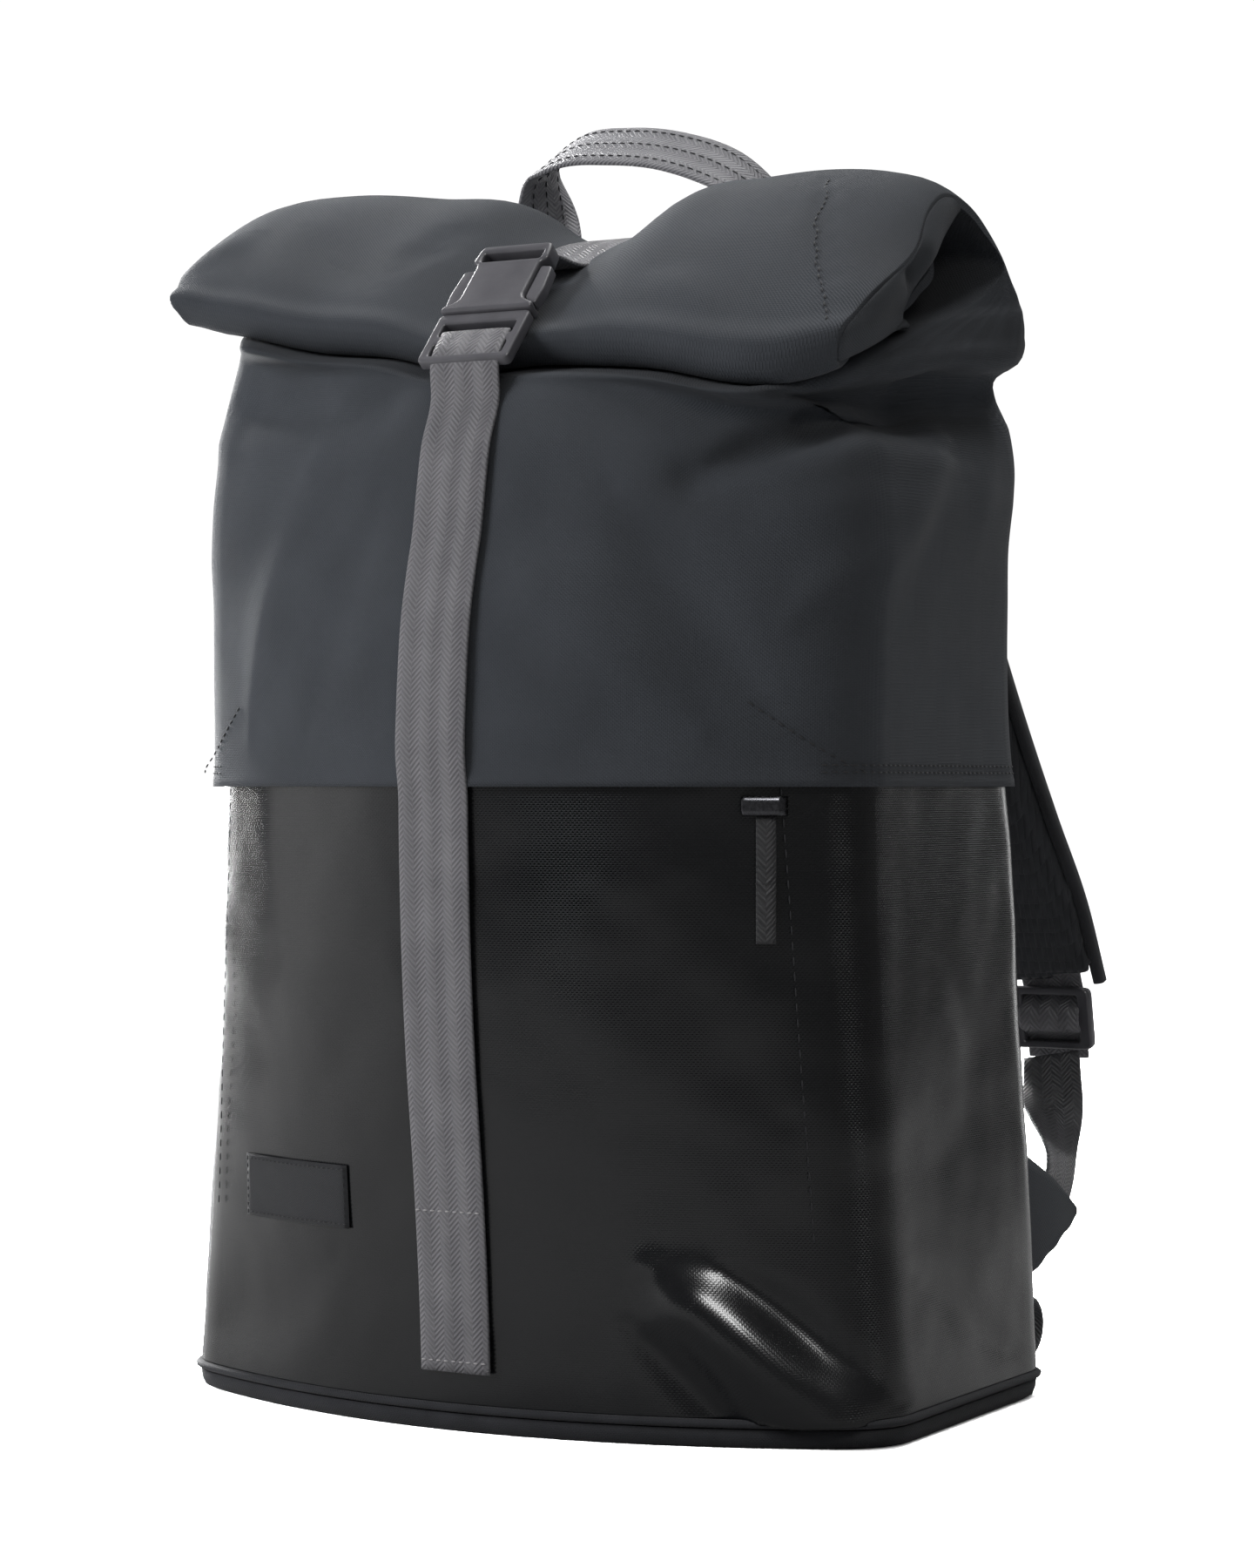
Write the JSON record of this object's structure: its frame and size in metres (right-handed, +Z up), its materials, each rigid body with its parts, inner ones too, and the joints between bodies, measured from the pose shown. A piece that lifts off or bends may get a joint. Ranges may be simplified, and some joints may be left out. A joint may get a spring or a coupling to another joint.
{
  "type": "rolltop backpack",
  "caption": "Rolltop backpack standing filled, with a rolled top held by one buckled strap and two shoulder straps.",
  "frame": {"origin": "middle of the base on the floor, halfway across the width, 74 mm behind the front corners", "axes": "+Z up, the front with the buckled strap faces -Y, +X to the right seen from the front"},
  "size_m": [0.3213, 0.2992, 0.5134],
  "materials": {
    "tarpaulin": "glossy coated cloth",
    "woven": "matt plain weave",
    "webbing": "matt ribbed webbing",
    "padding": "matt spacer mesh over foam",
    "buckle": "satin moulded plastic",
    "label": "blank woven patch",
    "metal": "satin"
  },
  "bodies": {
    "root": {"base_panel": "tarpaulin", "base_welt": "tarpaulin", "lower_body": "tarpaulin", "upper_body": "woven", "back_panel": "padding", "front_strap": "webbing", "top_strap": "webbing", "buckle_socket": "buckle", "buckle_frame": "buckle", "buckle_arm_right": "buckle", "buckle_arm_left": "buckle", "grab_handle": "webbing", "shoulder_pad_right": "padding", "shoulder_pad_left": "padding", "strap_adjuster_right": "buckle", "strap_adjuster_left": "buckle", "tail_webbing_right": "webbing", "tail_webbing_left": "webbing", "strap_wing_right": "woven", "strap_wing_left": "woven", "corner_loop_right": "webbing", "corner_loop_left": "webbing", "zip_slider": "metal", "zip_pull": "webbing", "label_patch": "label"}
  },
  "joints": []
}
